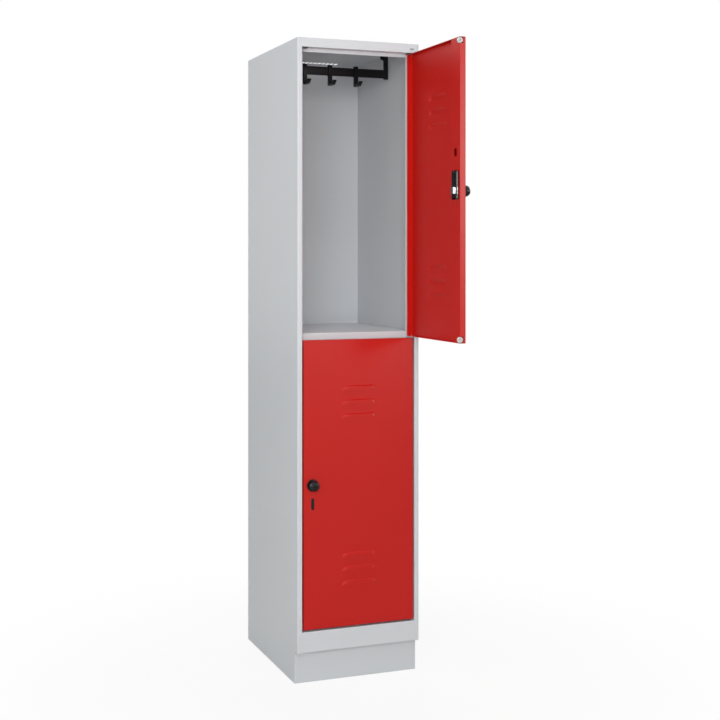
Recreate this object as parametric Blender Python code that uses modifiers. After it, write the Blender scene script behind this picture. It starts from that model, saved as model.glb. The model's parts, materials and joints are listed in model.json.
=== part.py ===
# Double tier locker: two compartments, one above the other, in a folded sheet
# steel carcass. Each has a louvred door on pivot pins, a turn-knob lock, a coat
# rail and sliding hooks. Metres, Z up, doors facing -Y. The origin is on the
# floor, in the middle of the bottom flange of the plinth's front board.

import math

import bmesh
import bpy
from mathutils import Matrix, Vector

for old in list(bpy.data.objects):
    bpy.data.objects.remove(old, do_unlink=True)

# Carcass
WIDTH = 0.400
DEPTH = 0.500
HEIGHT = 1.950
SHEET = 0.001
SEAM = 0.0003
BEND = 0.0015
CORNER_BEND = 0.003
POST_W = 0.015
REBATE = 0.026
SIDE_LIP = 0.010
HINGE_LIP = 0.019
HEADER_H = 0.028
HEADER_LIP = 0.011
RAIL_H = 0.062
RAIL_LIP = 0.011
PLINTH_H = 0.098
PLINTH_RECESS = 0.0265
PLINTH_FLANGE = 0.020
REAR_FLANGE = 0.015
TRAY_FLANGE = 0.020
DIVIDER_H = 0.034
VENT_COUNT = 15
VENT_PITCH = 0.0151
VENT_SIZE = (0.010, 0.030)
VENT_FROM_BACK = 0.012

# Doors
DOOR_GAP = 0.006
DOOR_SIDE_GAP = 0.004
DOOR_T = 0.018
UPPER_OPEN = math.radians(90)
HINGE_INSET = 0.0035
PIN_R = 0.0017
PIN_PLAY = 0.00025
PIN_REACH = 0.004
PLATE_T = 0.003
PLATE_W = 0.0185
PIVOT_W = 0.020
PIVOT_T = 0.0078
PIVOT_DROP = 0.003
LOUVRE = (0.114, 0.0155)
LOUVRE_PROUD = 0.0043
LOUVRE_PITCH = 0.0423
LOUVRE_CORNER = 0.014
LOUVRE_TAPER = 0.007
LOUVRES_BELOW_TOP = 0.149
LOUVRES_ABOVE_BOTTOM = 0.1303
LOUVRE_COUNT = 3
LABEL = (0.057, 0.023)
LABEL_BELOW_TOP = 0.102
LABEL_SINK = 0.0004
CHANNEL_W = 0.0575
CHANNEL_FOOT = 0.012
CHANNEL_SLOT = (0.016, 0.0245)
CHANNEL_SLOT_UP = 0.1104
BUFFER_R = 0.0084
BUFFER_LEN = 0.007
BUFFER_BORE_R = 0.003
SLOT = (0.010, 0.0355)
SLOT_BELOW_LOCK = 0.0569
LINER_RIM = 0.003

# Lock
LOCK_INSET = 0.0295
LOCK_DROP = 0.0014
BALL_R = 0.0164
BALL_UP = 0.0135
KNOB_TOP = 0.027
ROSETTE_R = 0.019
ROSETTE_T = 0.0032
CORE_R = 0.006
CORE_LEN = 0.014
KEYWAY = (0.0016, 0.0075, 0.005)
SPINDLE_R = 0.0045
PLAY = 0.0003
BOSS_R = 0.012
CASE_FREE_EDGE = 0.0075
CASE_W = 0.0318
CASE_UP = 0.0574
CASE_DOWN = 0.025
CASE_T = 0.0072
CASE_LIP = 0.0015
HEEL_WALL = 0.0012
BOLT_T = 0.0045
BOLT_H = 0.0195
BOLT_TIP_INSET = 0.0085
BOLT_THROW = 0.0085
TONGUE_T = 0.009
TONGUE_L = 0.015
CAM_R = 0.0092
CAM_T = 0.003
CRANK_R = 0.0018
CRANK_PLAY = 0.0005
CRANK_REACH = 0.0034

# Fit-out
BAR_H = 0.0275
BAR_T = 0.006
BAR_BELOW_ROOF = 0.0637
BAR_FROM_FRONT = 0.220
STRAP_W = 0.015
STRAP_T = 0.004
STRAP_FROM_WALL = 0.008
STRAP_BELOW_BAR = 0.0035
STRAP_PAD = (0.028, 0.024, 0.003)
STRAP_HEAD = (0.0265, 0.023)
HOOK_W = 0.012
HOOK_WALL = 0.0036
HOOK_X = (-0.098, -0.012, 0.078)
HOOK_NUB = 0.0025
HOOK_DROP = 0.0325
HOOK_REACH = 0.040
HOOK_RISE = 0.0125
HOOK_STEM = 0.012
HOOK_T = 0.005

# Base
BAR_WEB_Z = 0.045
BAR_WEB_W = 0.030
BAR_LEG = 0.015
BAR_SHEET = 0.002
FOOT_SETBACK = 0.060
FOOT_INSET = 0.050
STUD_R = 0.005
STUD_TOP = 0.085
GLIDE_R = 0.016
GLIDE_T = 0.008
GLIDE_LIFT = 0.0005

# Levels and edges that follow from the sizes above
FRONT_Y = -(PLINTH_RECESS + PLINTH_FLANGE / 2)
BACK_Y = FRONT_Y + DEPTH
HALF_W = WIDTH / 2
INNER_HALF = HALF_W - SHEET - SEAM
OPEN_HALF = HALF_W - POST_W
OPEN_LO = PLINTH_H + RAIL_H
OPEN_HI = HEIGHT - HEADER_H
DOOR_W = 2 * (OPEN_HALF - DOOR_SIDE_GAP)
DOOR_H = (OPEN_HI - OPEN_LO - 3 * DOOR_GAP) / 2
LOWER_Z = OPEN_LO + DOOR_GAP
UPPER_Z = LOWER_Z + DOOR_H + DOOR_GAP
MID_Z = UPPER_Z - DOOR_GAP / 2
FLOOR_Z = OPEN_LO + RAIL_LIP
SHELF_Z = MID_Z + DIVIDER_H / 2
STOP_Y = FRONT_Y + REBATE
TRAY_Y = STOP_Y + SHEET + SEAM
REAR_Y = BACK_Y - SHEET - SEAM
HINGE_X = DOOR_W / 2 - HINGE_INSET
LOCK_X = -DOOR_W / 2 + LOCK_INSET
LOCK_Z = DOOR_H / 2 - LOCK_DROP
FAR = 0.010

parts = bpy.data.collections.new("double_tier_locker")
cutters = bpy.data.collections.new("locker_cutters")
bpy.context.scene.collection.children.link(parts)
bpy.context.scene.collection.children.link(cutters)


def linear(code):
    out = []
    for i in (0, 2, 4):
        c = int(code[i:i + 2], 16) / 255
        out.append(c / 12.92 if c <= 0.04045 else ((c + 0.055) / 1.055) ** 2.4)
    return (*out, 1.0)


def finish(name, code, roughness, metallic=0.0):
    mat = bpy.data.materials.new(name)
    mat.use_nodes = True
    shader = mat.node_tree.nodes["Principled BSDF"]
    shader.inputs["Base Color"].default_value = linear(code)
    shader.inputs["Roughness"].default_value = roughness
    shader.inputs["Metallic"].default_value = metallic
    return mat


GREY = finish("light_grey_powder_coat", "D2D4D6", 0.45)
RED = finish("red_powder_coat", "BE2C28", 0.42)
BLACK = finish("black_plastic", "161617", 0.40)
BLACK_PAINT = finish("black_painted_steel", "1B1B1C", 0.48)
CHROME = finish("bright_plated_steel", "D4D6D8", 0.18, 1.0)
STEEL = finish("zinc_plated_steel", "A9ABAD", 0.35, 1.0)
WHITE = finish("white_buffer_plastic", "E4E4E1", 0.50)


def pivot(name, at, parent=None, turn=0.0):
    empty = bpy.data.objects.new(name, None)
    empty.empty_display_size = 0.03
    empty.location = at
    empty.rotation_euler = (0.0, 0.0, turn)
    empty.parent = parent
    parts.objects.link(empty)
    return empty


# A piece gets a material and joins the parts; a cutter gets none
def add_object(name, mesh, mat, parent=None, at=(0, 0, 0)):
    obj = bpy.data.objects.new(name, mesh)
    obj.location = at
    obj.parent = parent
    if mat is None:
        cutters.objects.link(obj)
        obj.hide_render = True
        obj.display_type = "WIRE"
    else:
        parts.objects.link(obj)
        mesh.materials.append(mat)
    return obj


def to_mesh(bm, name):
    mesh = bpy.data.meshes.new(name)
    bm.to_mesh(mesh)
    bm.free()
    return mesh


def add_block(bm, lo, hi, axis=None, radius=0.0, segments=4):
    lo = Vector(lo)
    hi = Vector(hi)
    verts = bmesh.ops.create_cube(bm, size=1.0)["verts"]
    bmesh.ops.scale(bm, vec=hi - lo, verts=verts)
    bmesh.ops.translate(bm, vec=(lo + hi) / 2, verts=verts)
    if axis is not None:
        edges = {e for v in verts for e in v.link_edges}
        along = []
        for e in edges:
            run = (e.verts[0].co - e.verts[1].co).normalized()
            if abs(run[axis]) > 0.99:
                along.append(e)
        bmesh.ops.bevel(bm, geom=along, offset=radius, segments=segments,
                        profile=0.5, affect="EDGES")


def add_rod(bm, start, end, radius, segments=24):
    start = Vector(start)
    end = Vector(end)
    run = end - start
    turn = Vector((0, 0, 1)).rotation_difference(run).to_matrix().to_4x4()
    bmesh.ops.create_cone(bm, cap_ends=True, segments=segments, radius1=radius,
                          radius2=radius, depth=run.length,
                          matrix=Matrix.Translation((start + end) / 2) @ turn)


def block(name, lo, hi, mat, axis=None, radius=0.0, segments=4, parent=None, at=(0, 0, 0)):
    bm = bmesh.new()
    add_block(bm, lo, hi, axis, radius, segments)
    return add_object(name, to_mesh(bm, name), mat, parent, at)


def rod(name, start, end, radius, mat, segments=24, parent=None, at=(0, 0, 0)):
    bm = bmesh.new()
    add_rod(bm, start, end, radius, segments)
    return add_object(name, to_mesh(bm, name), mat, parent, at)


def combine(obj, tool, operation="DIFFERENCE"):
    mod = obj.modifiers.new(operation.title(), "BOOLEAN")
    mod.operation = operation
    mod.solver = "EXACT"
    mod.object = tool


def cut_block(obj, lo, hi, axis=None, radius=0.0, segments=4):
    name = "%s_cut_%d" % (obj.name, len(obj.modifiers))
    tool = block(name, lo, hi, None, axis, radius, segments, obj.parent, obj.location)
    combine(obj, tool)


def cut_rod(obj, start, end, radius, segments=24):
    name = "%s_bore_%d" % (obj.name, len(obj.modifiers))
    tool = rod(name, start, end, radius, None, segments, obj.parent, obj.location)
    combine(obj, tool)


def soften(obj, width, segments=2, angle=40):
    mod = obj.modifiers.new("Soft_edges", "BEVEL")
    mod.width = width
    mod.segments = segments
    mod.limit_method = "ANGLE"
    mod.angle_limit = math.radians(angle)


# Corner points of a fold line, each corner rounded to its own radius
def rounded_path(points, radii, steps=3):
    points = [Vector(p) for p in points]
    out = [points[0]]
    for before, corner, after, radius in zip(points, points[1:], points[2:], radii):
        a = (before - corner).normalized()
        b = (after - corner).normalized()
        half = a.angle(b) / 2
        reach = radius / math.tan(half)
        centre = corner + (a + b).normalized() * (radius / math.sin(half))
        first = corner + a * reach - centre
        last = corner + b * reach - centre
        sweep = first.angle(last)
        for i in range(steps + 1):
            t = i / steps
            out.append(centre + (first * math.sin((1 - t) * sweep)
                                 + last * math.sin(t * sweep)) / math.sin(sweep))
    out.append(points[-1])
    return out


def sheet_wall(obj, thickness):
    mod = obj.modifiers.new("Sheet", "SOLIDIFY")
    mod.thickness = thickness
    mod.offset = -1.0
    mod.use_even_offset = True


# Sheet folded along a path and swept straight; the path is its visible face
def folded_sheet(name, path, sweep, outside, mat, thickness=SHEET, parent=None, at=(0, 0, 0)):
    bm = bmesh.new()
    verts = [bm.verts.new(p) for p in path]
    edges = [bm.edges.new(pair) for pair in zip(verts, verts[1:])]
    swept = bmesh.ops.extrude_edge_only(bm, edges=edges)["geom"]
    bmesh.ops.translate(bm, vec=sweep,
                        verts=[v for v in swept if isinstance(v, bmesh.types.BMVert)])
    bmesh.ops.recalc_face_normals(bm, faces=bm.faces)
    start = [f for f in verts[0].link_faces][0]
    if start.normal.dot(Vector(outside)) < 0:
        bmesh.ops.reverse_faces(bm, faces=bm.faces)
    obj = add_object(name, to_mesh(bm, name), mat, parent, at)
    sheet_wall(obj, thickness)
    return obj


# Panel with four folded flanges, open on one side
def tray(name, lo, hi, open_side, mat, bend=BEND, parent=None, at=(0, 0, 0)):
    bm = bmesh.new()
    add_block(bm, lo, hi)
    bmesh.ops.recalc_face_normals(bm, faces=bm.faces)
    lid = [f for f in bm.faces if f.normal.dot(Vector(open_side)) > 0.99]
    bmesh.ops.delete(bm, geom=lid, context="FACES_ONLY")
    obj = add_object(name, to_mesh(bm, name), mat, parent, at)
    soften(obj, bend)
    sheet_wall(obj, SHEET)
    return obj


# Outline turned about the local Z axis, listed from the top down
def turned(name, profile, mat, closed=False, steps=32, parent=None, at=(0, 0, 0)):
    mesh = bpy.data.meshes.new(name)
    edges = [(i, i + 1) for i in range(len(profile) - 1)]
    if closed:
        edges.append((len(profile) - 1, 0))
    mesh.from_pydata([(r, 0.0, z) for r, z in profile], edges, [])
    obj = add_object(name, mesh, mat, parent, at)
    mod = obj.modifiers.new("Turn", "SCREW")
    mod.axis = "Z"
    mod.steps = steps
    mod.render_steps = steps
    mod.use_merge_vertices = True
    mod.merge_threshold = 1e-5
    return obj


# Carcass: side panels with their rear flange, and the folded front posts
def build_side(word, side, lip):
    wall = rounded_path([(side * (HALF_W - REAR_FLANGE), BACK_Y, 0),
                         (side * HALF_W, BACK_Y, 0),
                         (side * HALF_W, FRONT_Y + REBATE + SHEET, 0)], [BEND])
    panel = folded_sheet(word + "_side_panel", wall, (0, 0, HEIGHT), (0, 1, 0), GREY)
    cut_block(panel, (side * HALF_W - FAR, FRONT_Y - FAR, -FAR),
              (side * HALF_W + FAR, FRONT_Y + PLINTH_RECESS + SHEET, PLINTH_H))
    fold = rounded_path([(side * HALF_W, FRONT_Y + REBATE + SHEET - SEAM, PLINTH_H),
                         (side * HALF_W, FRONT_Y, PLINTH_H),
                         (side * OPEN_HALF, FRONT_Y, PLINTH_H),
                         (side * OPEN_HALF, STOP_Y, PLINTH_H),
                         (side * (OPEN_HALF - lip), STOP_Y, PLINTH_H)],
                        [CORNER_BEND, BEND, SHEET * 0.4], 3)
    post = folded_sheet(word + "_front_post", fold, (0, 0, HEIGHT - PLINTH_H), (side, 0, 0), GREY)
    near = side * (OPEN_HALF + SHEET + 3 * SEAM)
    far = side * (OPEN_HALF - lip - FAR)
    x0, x1 = min(near, far), max(near, far)
    back = STOP_Y + SHEET + FAR
    stop = STOP_Y - SHEET * 1.5
    cut_block(post, (x0, FRONT_Y + SHEET + SEAM / 2, OPEN_HI), (x1, back, HEIGHT + FAR))
    cut_block(post, (x0, stop, OPEN_HI - HEADER_LIP - SEAM), (x1, back, OPEN_HI + SEAM))
    cut_block(post, (x0, stop, PLINTH_H - FAR), (x1, back, FLOOR_Z + SEAM))


# The lock bolts hook behind the left lip; the right one is wider, to cover the hinge
build_side("left", -1, SIDE_LIP)
build_side("right", 1, HINGE_LIP)

block("back_panel", (-INNER_HALF, REAR_Y - SHEET, PLINTH_H + SEAM),
      (INNER_HALF, REAR_Y, HEIGHT - TRAY_FLANGE - SEAM), GREY)

roof = tray("top_panel", (-INNER_HALF, FRONT_Y + SHEET + SEAM, HEIGHT - TRAY_FLANGE),
            (INNER_HALF, REAR_Y, HEIGHT), (0, 0, -1), GREY, CORNER_BEND - SHEET - SEAM)
bm = bmesh.new()
vent_y = REAR_Y - SHEET - VENT_FROM_BACK
for i in range(VENT_COUNT):
    x = (i - (VENT_COUNT - 1) / 2) * VENT_PITCH
    add_block(bm, (x - VENT_SIZE[0] / 2, vent_y - VENT_SIZE[1], HEIGHT - FAR),
              (x + VENT_SIZE[0] / 2, vent_y, HEIGHT + FAR), 2, VENT_SIZE[0] * 0.3, 2)
combine(roof, add_object("vent_slots", to_mesh(bm, "vent_slots"), None))

beam = 2 * (OPEN_HALF - SEAM)
header_path = rounded_path([(-beam / 2, FRONT_Y, HEIGHT), (-beam / 2, FRONT_Y, OPEN_HI),
                            (-beam / 2, STOP_Y, OPEN_HI),
                            (-beam / 2, STOP_Y, OPEN_HI - HEADER_LIP)],
                           [BEND, SHEET * 0.4])
header = folded_sheet("header_rail", header_path, (beam, 0, 0), (0, -1, 0), GREY)

rail_path = rounded_path([(-beam / 2, STOP_Y, FLOOR_Z), (-beam / 2, STOP_Y, OPEN_LO),
                          (-beam / 2, FRONT_Y, OPEN_LO), (-beam / 2, FRONT_Y, PLINTH_H + SEAM),
                          (-beam / 2, FRONT_Y + PLINTH_RECESS + PLINTH_FLANGE,
                           PLINTH_H + SEAM)],
                         [SHEET * 0.4, BEND, BEND])
bottom_rail = folded_sheet("bottom_rail", rail_path, (beam, 0, 0), (0, -1, 0), GREY)

tray("bottom_panel", (-INNER_HALF, TRAY_Y, FLOOR_Z - TRAY_FLANGE),
     (INNER_HALF, REAR_Y - SHEET - SEAM, FLOOR_Z), (0, 0, -1), GREY)
tray("divider_shelf", (-INNER_HALF, TRAY_Y, SHELF_Z - DIVIDER_H),
     (INNER_HALF, REAR_Y - SHEET - SEAM, SHELF_Z), (0, 0, -1), GREY)


# Plinth boards, folded to a C with both flanges inward
def build_plinth(name, face_y, inward):
    tip = face_y + inward * PLINTH_FLANGE
    path = rounded_path([(-INNER_HALF, tip, 0), (-INNER_HALF, face_y, 0),
                         (-INNER_HALF, face_y, PLINTH_H - SEAM),
                         (-INNER_HALF, tip, PLINTH_H - SEAM)], [BEND, BEND])
    return folded_sheet(name, path, (2 * INNER_HALF, 0, 0), (0, 0, -1), GREY)


build_plinth("plinth_front", FRONT_Y + PLINTH_RECESS, 1)
build_plinth("plinth_rear", REAR_Y, -1)

# Hinge side: pivot blocks in the header and the bottom rail, plate and pins
hinge_y = FRONT_Y + HINGE_INSET
pivot_front = FRONT_Y + 2 * SHEET
pivot_back = STOP_Y - SHEET * 2.3
rail_top = OPEN_LO - SHEET - SEAM
for side, word in ((-1, "left"), (1, "right")):
    inner = side * (OPEN_HALF - PIVOT_W - SEAM)
    outer = side * (OPEN_HALF - 2 * SEAM)
    x0, x1 = min(inner, outer), max(inner, outer)
    pin = (side * HINGE_X, hinge_y)
    clear = (SEAM, FAR) if side > 0 else (FAR, SEAM)
    cut_block(header, (x0 - clear[0], pivot_front - SEAM, OPEN_HI - SHEET * 1.5),
              (x1 + clear[1], pivot_back + SEAM, OPEN_HI + SHEET * 1.5))
    low = OPEN_HI - PIVOT_DROP
    shoe = block("header_pivot_" + word, (x0, pivot_front, low), (x1, pivot_back, low + PIVOT_T), BLACK)
    cut_rod(shoe, (*pin, low - FAR), (*pin, low + PIVOT_T + FAR), PIN_R + PIN_PLAY, 16)
    cut_rod(bottom_rail, (*pin, OPEN_LO - FAR / 2), (*pin, OPEN_LO + FAR / 2), PIN_R + PIN_PLAY, 16)
    shoe = block("rail_pivot_" + word, (x0, pivot_front, rail_top - PIVOT_T),
                 (x1, pivot_back, rail_top), BLACK)
    cut_rod(shoe, (*pin, rail_top - PIVOT_T - FAR), (*pin, rail_top + FAR), PIN_R + PIN_PLAY, 16)

plate = block("hinge_plate", (OPEN_HALF - PLATE_W, FRONT_Y + SHEET, MID_Z - PLATE_T / 2),
              (OPEN_HALF - SEAM, STOP_Y - SEAM, MID_Z + PLATE_T / 2), GREY, 2, 0.0025, 3)
cut_rod(plate, (HINGE_X, hinge_y, MID_Z - FAR), (HINGE_X, hinge_y, MID_Z + FAR),
        PIN_R + PIN_PLAY, 16)
pivot_in = PIVOT_T - SHEET
for name, z0, z1 in (("header_hinge_pin", OPEN_HI - DOOR_GAP - PIN_REACH, OPEN_HI - PIVOT_DROP + pivot_in),
                     ("middle_hinge_pin", MID_Z - DOOR_GAP / 2 - PIN_REACH,
                      MID_Z + DOOR_GAP / 2 + PIN_REACH),
                     ("rail_hinge_pin", rail_top - pivot_in, OPEN_LO + DOOR_GAP + PIN_REACH)):
    rod(name, (HINGE_X, hinge_y, z0), (HINGE_X, hinge_y, z1), PIN_R, STEEL, 16)


# Ring of a pressed hood: square along the lower lip, rounded at the two upper corners
def hood_ring(bm, y, z_low, half, tall, corner):
    rise = 0.8 * tall
    points = [(-half, z_low)]
    for i in range(4):
        a = math.pi / 2 * i / 3
        points.append((-half + corner * (1 - math.cos(a)), z_low + tall - rise * (1 - math.sin(a))))
    points += [(-x, z) for x, z in reversed(points)]
    return [bm.verts.new((x, y, z)) for x, z in points]


# Pressed hood: rings from its seat in the sheet over the shoulder to the brow
def add_hood(bm, z_mid, wide, tall, proud, brow, base):
    z_low = z_mid - tall / 2
    corner = LOUVRE_CORNER
    rings = [hood_ring(bm, base, z_low, wide / 2, tall, corner),
             hood_ring(bm, -0.75 * proud, z_low, wide / 2 - 0.55 * LOUVRE_TAPER, 0.62 * tall, corner),
             hood_ring(bm, -proud, z_low, wide / 2 - LOUVRE_TAPER, brow, corner)]
    faces = [bm.faces.new(rings[0]), bm.faces.new(rings[-1])]
    for lower, upper in zip(rings, rings[1:]):
        for i in range(len(lower)):
            faces.append(bm.faces.new((lower[i - 1], lower[i], upper[i], upper[i - 1])))
    bmesh.ops.recalc_face_normals(bm, faces=faces)


def add_louvres(pan, prefix):
    heights = []
    for i in range(LOUVRE_COUNT):
        heights.append(DOOR_H - LOUVRES_BELOW_TOP - i * LOUVRE_PITCH)
        heights.append(LOUVRES_ABOVE_BOTTOM + i * LOUVRE_PITCH)
    wide, tall = LOUVRE
    brow = tall / 3
    step = 1.1 * SHEET
    hoods = bmesh.new()
    hollows = bmesh.new()
    slits = bmesh.new()
    for z in heights:
        add_hood(hoods, z, wide, tall, LOUVRE_PROUD, brow, SHEET / 2)
        add_hood(hollows, z + SHEET / 2, wide - 2 * SHEET, tall - SHEET, LOUVRE_PROUD - step,
                 brow - SHEET, SHEET / 2 + step)
        slot = wide / 2 - LOUVRE_TAPER - 4 * SHEET
        add_block(slits, (-slot, -LOUVRE_PROUD + step, z - tall / 2 - SHEET),
                  (slot, -SEAM, z - tall / 2 + SHEET * 1.5))
    for word, shape, way in (("hoods", hoods, "UNION"), ("hollows", hollows, "DIFFERENCE"),
                             ("slits", slits, "DIFFERENCE")):
        name = "%s_louvre_%s" % (prefix, word)
        combine(pan, add_object(name, to_mesh(shape, name), None, pan.parent, pan.location), way)


# A door is drawn from its centre line, outer face and lower edge
def build_door(prefix, bottom_z, turn):
    hinge = pivot(prefix + "_door_hinge", (HINGE_X, hinge_y, bottom_z), None, turn)
    here = (-HINGE_X, -HINGE_INSET, 0)
    half = DOOR_W / 2

    pan = tray(prefix + "_door_pan", (-half, 0, 0), (half, DOOR_T, DOOR_H), (0, 1, 0), RED,
               BEND, hinge, here)
    add_louvres(pan, prefix)
    notch = 2 * BUFFER_R + 4 * SEAM
    buffer_y = REBATE - 2 * SEAM - BUFFER_R
    for z0 in (SHEET + SEAM, DOOR_H - SHEET - SEAM - notch):
        cut_block(pan, (-half - FAR, buffer_y - BUFFER_R - SEAM, z0),
                  (-half + SHEET * 1.5, DOOR_T + FAR, z0 + notch))
    cut_rod(pan, (HINGE_X, HINGE_INSET, -FAR), (HINGE_X, HINGE_INSET, DOOR_H + FAR),
            PIN_R + PIN_PLAY, 16)
    cut_rod(pan, (LOCK_X, -FAR, LOCK_Z), (LOCK_X, SHEET * 2, LOCK_Z), SPINDLE_R + PLAY, 16)
    slot_z = LOCK_Z - SLOT_BELOW_LOCK
    cut_block(pan, (LOCK_X - SLOT[0] / 2, -FAR, slot_z - SLOT[1] / 2),
              (LOCK_X + SLOT[0] / 2, SHEET * 2, slot_z + SLOT[1] / 2), 1, SLOT[0] * 0.495, 6)
    label_z = DOOR_H - LABEL_BELOW_TOP
    cut_block(pan, (-LABEL[0] / 2, -FAR, label_z - LABEL[1] / 2),
              (LABEL[0] / 2, LABEL_SINK, label_z + LABEL[1] / 2), 1, 0.002, 3)

    edge = -half + SHEET + SEAM
    web = -half + CHANNEL_W
    channel_path = rounded_path([(edge, DOOR_T, SHEET + SEAM), (web, DOOR_T, SHEET + SEAM),
                                 (web, 2 * SHEET + SEAM, SHEET + SEAM),
                                 (web + CHANNEL_FOOT, 2 * SHEET + SEAM, SHEET + SEAM)],
                                [BEND, SHEET * 0.5])
    channel = folded_sheet(prefix + "_lock_channel", channel_path,
                           (0, 0, DOOR_H - 2 * (SHEET + SEAM)), (0, 1, 0), RED, SHEET, hinge, here)
    inner_end = -half + SEAM + BUFFER_LEN
    for z0 in (-FAR, DOOR_H - SHEET - SEAM - notch):
        z1 = z0 + FAR + SHEET + SEAM + notch
        cut_block(channel, (edge - FAR, DOOR_T - FAR, z0), (inner_end + 2 * SEAM, DOOR_T + FAR, z1))
    cut_rod(channel, (LOCK_X, DOOR_T - FAR, LOCK_Z), (LOCK_X, DOOR_T + FAR, LOCK_Z), BOSS_R + PLAY, 20)
    up = LOCK_Z + CHANNEL_SLOT_UP
    cut_block(channel, (LOCK_X - CHANNEL_SLOT[0] / 2, DOOR_T - FAR, up - CHANNEL_SLOT[1] / 2),
              (LOCK_X + CHANNEL_SLOT[0] / 2, DOOR_T + FAR, up + CHANNEL_SLOT[1] / 2),
              1, CHANNEL_SLOT[0] * 0.49, 6)

    for word, z in (("bottom", SHEET + 3 * SEAM + BUFFER_R),
                    ("top", DOOR_H - SHEET - 3 * SEAM - BUFFER_R)):
        start = -half + SEAM
        pad = rod("%s_buffer_%s" % (prefix, word), (start, buffer_y, z),
                  (inner_end, buffer_y, z), BUFFER_R, WHITE, 20, hinge, here)
        soften(pad, 0.0008, 1, 60)
        cut_rod(pad, (start - FAR, buffer_y, z), (start + BUFFER_LEN * 0.6, buffer_y, z), BUFFER_BORE_R, 16)

    back = SHEET + SEAM
    liner = block(prefix + "_slot_liner",
                  (LOCK_X - SLOT[0] / 2 - LINER_RIM, back, slot_z - SLOT[1] / 2 - LINER_RIM),
                  (LOCK_X + SLOT[0] / 2 + LINER_RIM, back + 2 * SHEET, slot_z + SLOT[1] / 2 + LINER_RIM),
                  BLACK, 1, SLOT[0] * 0.6, 5, hinge, here)
    tongue = block(prefix + "_slot_tongue",
                   (LOCK_X - SLOT[0] / 2 + PLAY, SHEET * 0.4, slot_z - SLOT[1] / 2 + PLAY),
                   (LOCK_X + SLOT[0] / 2 - PLAY, back + SHEET, slot_z + SLOT[1] / 2 - PLAY),
                   None, 1, (SLOT[0] - 2 * PLAY) * 0.495, 6, hinge, here)
    combine(liner, tongue, "UNION")

    build_lock(prefix, hinge, here)


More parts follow.
